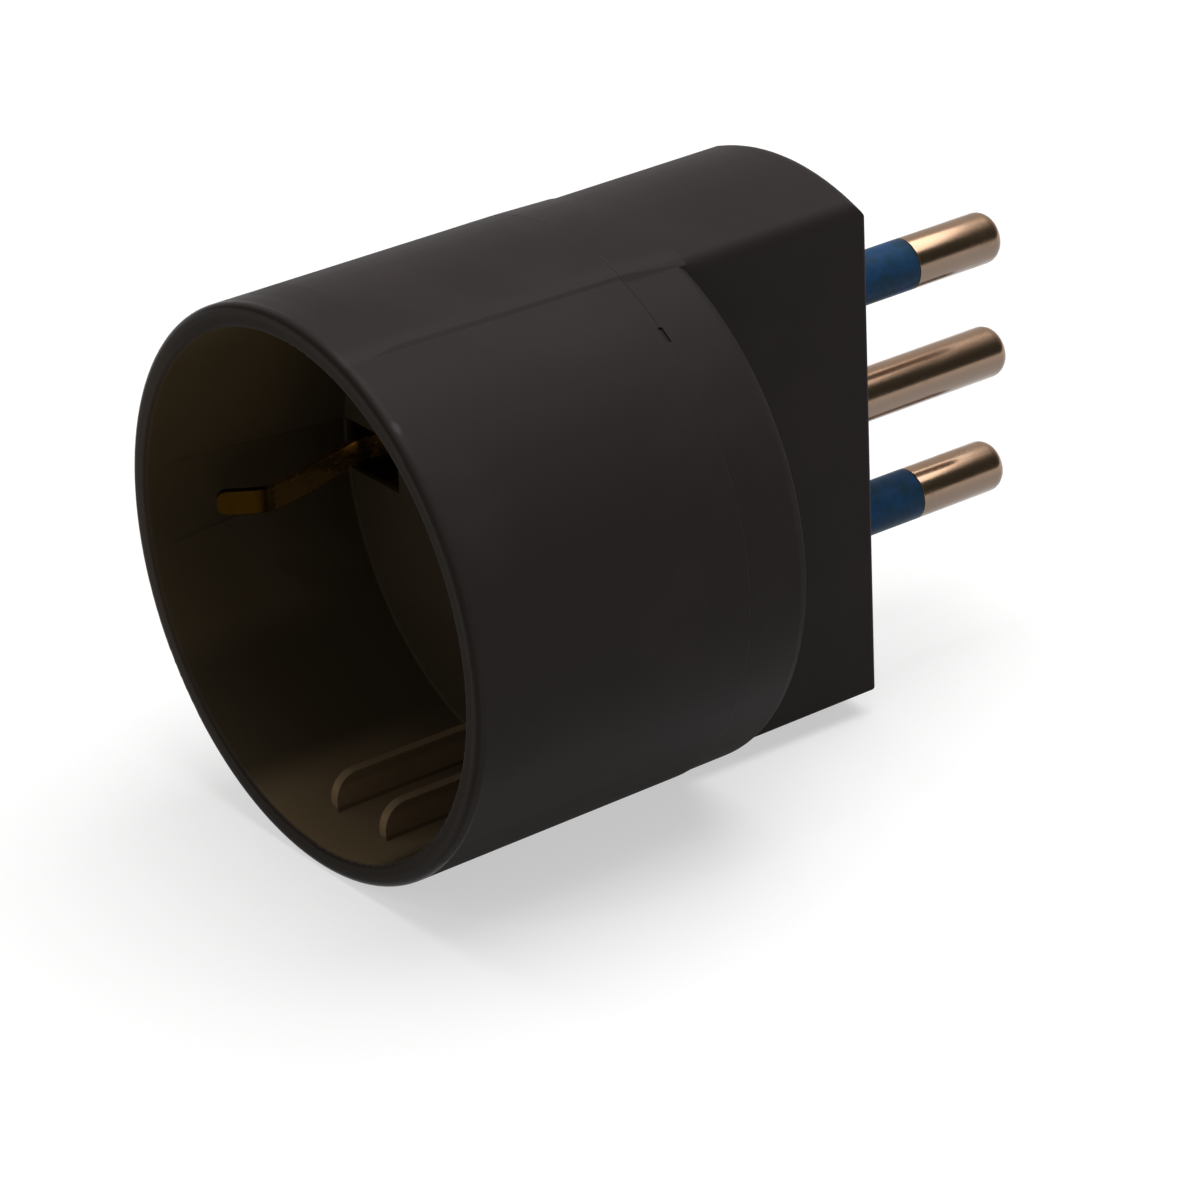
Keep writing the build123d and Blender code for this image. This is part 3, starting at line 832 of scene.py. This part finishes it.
class TurnedRow:
    """Geometry Nodes tree that turns an outline about the axis and repeats it at an even pitch.

    Attributes:
        segments: sides of a turned piece.
        sharp_degrees: angle from which an edge stays sharp.
        join_mm: distance within which points become one.
    """

    segments: int = 96
    sharp_degrees: float = 32.0
    join_mm: float = 0.001

    def __init__(self) -> None:
        """Builds the tree and its named inputs."""
        self.tree = bpy.data.node_groups.new("turned_row", "GeometryNodeTree")
        face = self.tree.interface
        face.new_socket("Outline", in_out="INPUT", socket_type="NodeSocketGeometry")
        kinds = {"Points": "Int", "Segments": "Int", "Count": "Int", "Pitch": "Float", "Finish": "Material"}
        for name, kind in kinds.items():
            face.new_socket(name, in_out="INPUT", socket_type=f"NodeSocket{kind}")
        face.new_socket("Geometry", in_out="OUTPUT", socket_type="NodeSocketGeometry")
        self._wire()

    def _node(self, kind: str, settings: dict[str, Any], inputs: dict[Any, Any]) -> bpy.types.Node:
        """Adds a node with its settings, and sockets or values on its inputs."""
        made = self.tree.nodes.new(kind)
        for name, value in settings.items():
            setattr(made, name, value)
        for name, value in inputs.items():
            if isinstance(value, bpy.types.NodeSocket):
                self.tree.links.new(value, made.inputs[name])
            else:
                made.inputs[name].default_value = value
        return made

    def _maths(self, operation: str, left: Any, right: Any) -> bpy.types.NodeSocket:
        """One Math node."""
        return self._node("ShaderNodeMath", {"operation": operation}, {0: left, 1: right}).outputs[0]

    def _wire(self) -> None:
        """Turns the outline into a closed skin and sets it out in a row along Z."""
        given = self.tree.nodes.new("NodeGroupInput").outputs
        columns = self._maths("ADD", given["Segments"], 1)
        grid = self._node("GeometryNodeMeshGrid", {}, {"Vertices X": columns, "Vertices Y": given["Points"]})
        number = self._node("GeometryNodeInputIndex", {}, {}).outputs[0]
        share = self._maths("DIVIDE", self._maths("ADD", number, 0.5), given["Points"])
        column = self._maths("FLOOR", share, 0.0)
        row = self._maths("SUBTRACT", number, self._maths("MULTIPLY", column, given["Points"]))
        spot = self._node("GeometryNodeInputPosition", {}, {}).outputs[0]
        read = self._node(
            "GeometryNodeSampleIndex",
            {"data_type": "FLOAT_VECTOR", "domain": "POINT"},
            {"Geometry": given["Outline"], "Value": spot, "Index": row},
        )
        part = self._node("ShaderNodeSeparateXYZ", {}, {0: read.outputs[0]}).outputs
        angle = self._maths("MULTIPLY", self._maths("DIVIDE", column, given["Segments"]), math.tau)
        across = self._maths("MULTIPLY", part[0], self._maths("SINE", angle, 0.0))
        upward = self._maths("MULTIPLY", part[0], self._maths("COSINE", angle, 0.0))
        place = self._node("ShaderNodeCombineXYZ", {}, {"X": across, "Y": part[1], "Z": upward}).outputs[0]
        flat = {"Geometry": grid.outputs["Mesh"], "Position": place}
        rolled = self._node("GeometryNodeSetPosition", {}, flat).outputs[0]
        seamed = {"Geometry": rolled, "Distance": self.join_mm * MM}
        skin = self._node("GeometryNodeMergeByDistance", {}, seamed).outputs[0]
        span = self._maths("MULTIPLY", self._maths("SUBTRACT", given["Count"], 1), given["Pitch"])
        first = self._node("ShaderNodeCombineXYZ", {}, {"Z": self._maths("MULTIPLY", span, -0.5)}).outputs[0]
        step = self._node("ShaderNodeCombineXYZ", {}, {"Z": given["Pitch"]}).outputs[0]
        spots = {"Count": given["Count"], "Start Location": first, "Offset": step}
        line = self._node("GeometryNodeMeshLine", {"mode": "OFFSET"}, spots).outputs[0]
        copies = self._node("GeometryNodeInstanceOnPoints", {}, {"Points": line, "Instance": skin}).outputs[0]
        solid = self._node("GeometryNodeRealizeInstances", {}, {"Geometry": copies}).outputs[0]
        finished = {"Geometry": solid, "Material": given["Finish"]}
        dressed = self._node("GeometryNodeSetMaterial", {}, finished).outputs[0]
        self._node("NodeGroupOutput", {}, {"Geometry": dressed})

    def make(
        self, name: str, corners: Sequence[Corner], count: int, pitch: float, finish: bpy.types.Material
    ) -> bpy.types.Object:
        """Makes one row as a plain mesh piece.

        Args:
            name: the piece's name.
            corners: the outline's corners.
            count: how many stand in the row.
            pitch: distance between them in millimetres.
            finish: their material.

        Returns:
            The piece, at the origin.
        """
        points = outline(corners)
        mesh = bpy.data.meshes.new(f"{name}_outline")
        mesh.from_pydata([(radius * MM, y * MM, 0.0) for radius, y in points], [], [])
        piece = bpy.data.objects.new(name, mesh)
        bpy.context.scene.collection.objects.link(piece)
        modifier = piece.modifiers.new("turned_row", "NODES")
        modifier.node_group = self.tree
        values = {
            "Points": len(points),
            "Segments": self.segments,
            "Count": count,
            "Pitch": pitch * MM,
            "Finish": finish,
        }
        for item in self.tree.interface.items_tree:
            if item.in_out == "INPUT" and item.name in values:
                modifier[item.identifier] = values[item.name]
        evaluated = piece.evaluated_get(bpy.context.evaluated_depsgraph_get())
        baked = bpy.data.meshes.new_from_object(evaluated)
        piece.modifiers.clear()
        piece.data = baked
        shape = bmesh.new()
        shape.from_mesh(baked)
        bmesh.ops.recalc_face_normals(shape, faces=shape.faces)
        shape.to_mesh(baked)
        shape.free()
        baked.shade_smooth()
        baked.set_sharp_from_angle(angle=math.radians(self.sharp_degrees))
        log.info("%s has %d faces", name, len(baked.polygons))
        return piece


PIN_TAIL = (
    Corner(0, -7.7), Corner(2.1, -7.7, 0.4), Corner(2.1, -7.0), Corner(1.3, -7.0), Corner(1.3, -6.4),
    Corner(3.25, -6.4, 0.1), Corner(3.25, -5.2, 0.1), Corner(1.8, -5.2),
)


@dataclass
class PlugPins:
    """The three plug pins in their row and the sleeves of the outer two."""

    pitch: float = 9.5
    outer_pins: Sequence[Corner] = PIN_TAIL + (
        Corner(1.8, -3.0), Corner(1.5, -3.0), Corner(1.5, 10.2), Corner(2.0, 10.2, 0.08),
        Corner(2.0, 18.6, 1.1), Corner(0, 18.6),
    )
    middle_pin: Sequence[Corner] = PIN_TAIL + (
        Corner(1.8, 0.0), Corner(2.0, 0.0), Corner(2.0, 19.0, 1.1), Corner(0, 19.0),
    )
    sleeve: Sequence[Corner] = (
        Corner(1.52, -2.98), Corner(1.8, -2.98), Corner(1.8, 0.0), Corner(2.0, 0.0),
        Corner(2.0, 10.18, 0.12), Corner(1.52, 10.18), Corner(1.52, -2.98),
    )
    metal: PinMetal = field(default_factory=lambda: PinMetal("turned_pin"))
    plastic: SleevePlastic = field(default_factory=lambda: SleevePlastic("blue_sleeve"))

    def build(self) -> None:
        """Makes the rows and stands them in for the CAD pins and sleeves."""
        tree = TurnedRow()
        metal = self.metal.material()
        plastic = self.plastic.material()
        outer = 2 * self.pitch
        pins = ("line_pin", "neutral_pin")
        sleeves = ("line_sleeve", "neutral_sleeve")
        rows = (
            ("outer_pin_row", self.outer_pins, 2, outer, metal, "pin_metal", pins),
            ("middle_pin", self.middle_pin, 1, self.pitch, metal, "pin_metal", ("earth_pin",)),
            ("sleeve_row", self.sleeve, 2, outer, plastic, "sleeve_plastic", sleeves),
        )
        for name, corners, count, pitch, finish, slot, nodes in rows:
            piece = tree.make(name, corners, count, pitch, finish)
            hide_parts(*nodes)
            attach(piece, "root")


@dataclass(frozen=True)
class Panel:
    """A square soft light, in metres and watts, and the point that it faces."""

    name: str
    place: Point
    aim: Point
    size: float
    power: float

    def build(self) -> None:
        """Hangs the light."""
        data = bpy.data.lights.new(self.name, "AREA")
        data.shape = "RECTANGLE"
        data.size = self.size
        data.size_y = self.size
        data.energy = self.power
        light = bpy.data.objects.new(self.name, data)
        away = Vector(self.place) - Vector(self.aim)
        light.rotation_euler = away.to_track_quat("Z", "Y").to_euler()
        light.location = self.place
        bpy.context.scene.collection.objects.link(light)


@dataclass
class Studio:
    """Floor, soft lights, surroundings and the camera at the photograph's angle."""

    panels: Sequence[Panel] = (
        Panel("overhead_panel", (0.02, 0.15, 0.75), (0.0, -0.02, 0.0), 0.75, 6.1),
        Panel("front_panel", (0.12, -0.85, 0.36), (0.0, -0.03, 0.0), 0.6, 1.0),
        Panel("small_lamp", (0.06, -0.41, 0.47), (0.0, -0.045, 0.0), 0.05, 0.14),
    )
    floor_z: float = -21.56 * MM
    floor_size: float = 6.0
    eye: Point = (0.2966, -0.2345, 0.1722)
    right: Point = (0.6032, 0.7965, -0.0416)
    up: Point = (-0.3307, 0.2973, 0.8957)
    back: Point = (0.7257, -0.5265, 0.4428)
    lens_mm: float = 166.88
    sensor_mm: float = 36.0
    clip: Span = (0.01, 20.0)
    walls: Colour = (0.290, 0.283, 0.282)
    dark_wall: Colour = (0.052, 0.058, 0.050)
    dark_side: Point = (0.79, 0.55, 0.27)
    dark_edges: Span = (0.45, 0.95)
    bright_wall: Colour = (0.62, 0.61, 0.59)
    bright_side: Point = (-0.70, 0.50, 0.51)
    bright_edges: Span = (0.62, 0.92)
    floor_paint: FloorPaint = field(default_factory=lambda: FloorPaint("pale_floor"))

    def build(self) -> None:
        """Sets up the whole studio."""
        self._floor()
        self._surroundings()
        for panel in self.panels:
            panel.build()
        self._camera()
        bpy.context.scene.view_settings.view_transform = "Standard"

    def _floor(self) -> None:
        """The pale floor."""
        half = self.floor_size / 2
        mesh = bpy.data.meshes.new("floor")
        square = ((-half, -half), (half, -half), (half, half), (-half, half))
        mesh.from_pydata([(x, y, self.floor_z) for x, y in square], [], [(0, 1, 2, 3)])
        floor = bpy.data.objects.new("floor", mesh)
        bpy.context.scene.collection.objects.link(floor)
        mesh.materials.append(self.floor_paint.material())

    def _surroundings(self) -> None:
        """A pale room that is darker on the side the pins turn towards."""
        world = bpy.data.worlds.new("studio_room")
        world.use_nodes = True
        bpy.context.scene.world = world
        graph = Graph(world.node_tree)
        direction = graph.place(Space.DIRECTION)
        dark = graph.band(self._toward(graph, direction, self.dark_side), *self.dark_edges)
        bright = graph.band(self._toward(graph, direction, self.bright_side), *self.bright_edges)
        room = graph.mix(dark, graph.mix(bright, self.walls, self.bright_wall), self.dark_wall)
        back = graph.node("ShaderNodeBackground", {}, {"Color": room, "Strength": 1.0})
        graph.node("ShaderNodeOutputWorld", {}, {"Surface": back["Background"]})

    @staticmethod
    def _toward(graph: Graph, direction: Wire, side: Point) -> Wire:
        """How nearly a direction points to a side of the room, up to 1.

        Args:
            graph: the world's graph.
            direction: the direction.
            side: the direction of that side.

        Returns:
            The cosine of the angle between them.
        """
        dot = graph.node("ShaderNodeVectorMath", {"operation": "DOT_PRODUCT"}, {0: direction, 1: side})
        return dot["Value"]

    def _camera(self) -> None:
        """The camera at the photograph's angle."""
        data = bpy.data.cameras.new("photo_camera")
        data.lens = self.lens_mm
        data.sensor_width = self.sensor_mm
        data.clip_start, data.clip_end = self.clip
        camera = bpy.data.objects.new("photo_camera", data)
        turn = Matrix((self.right, self.up, self.back)).transposed()
        camera.matrix_world = Matrix.Translation(self.eye) @ turn.to_4x4()
        bpy.context.scene.collection.objects.link(camera)
        bpy.context.scene.camera = camera


def corners(box: Any) -> list[list[float]]:
    """A box's two corners as plain lists."""
    return [[float(value) for value in corner] for corner in box]


def main() -> None:
    """Builds every sub-assembly in order."""
    logging.basicConfig(level=logging.INFO, format="%(name)s: %(message)s")
    for part in (Shells(), Contacts(), PlugPins(), Studio()):
        part.build()
        log.info("built %s", type(part).__name__)


if __name__ == "__main__":
    main()
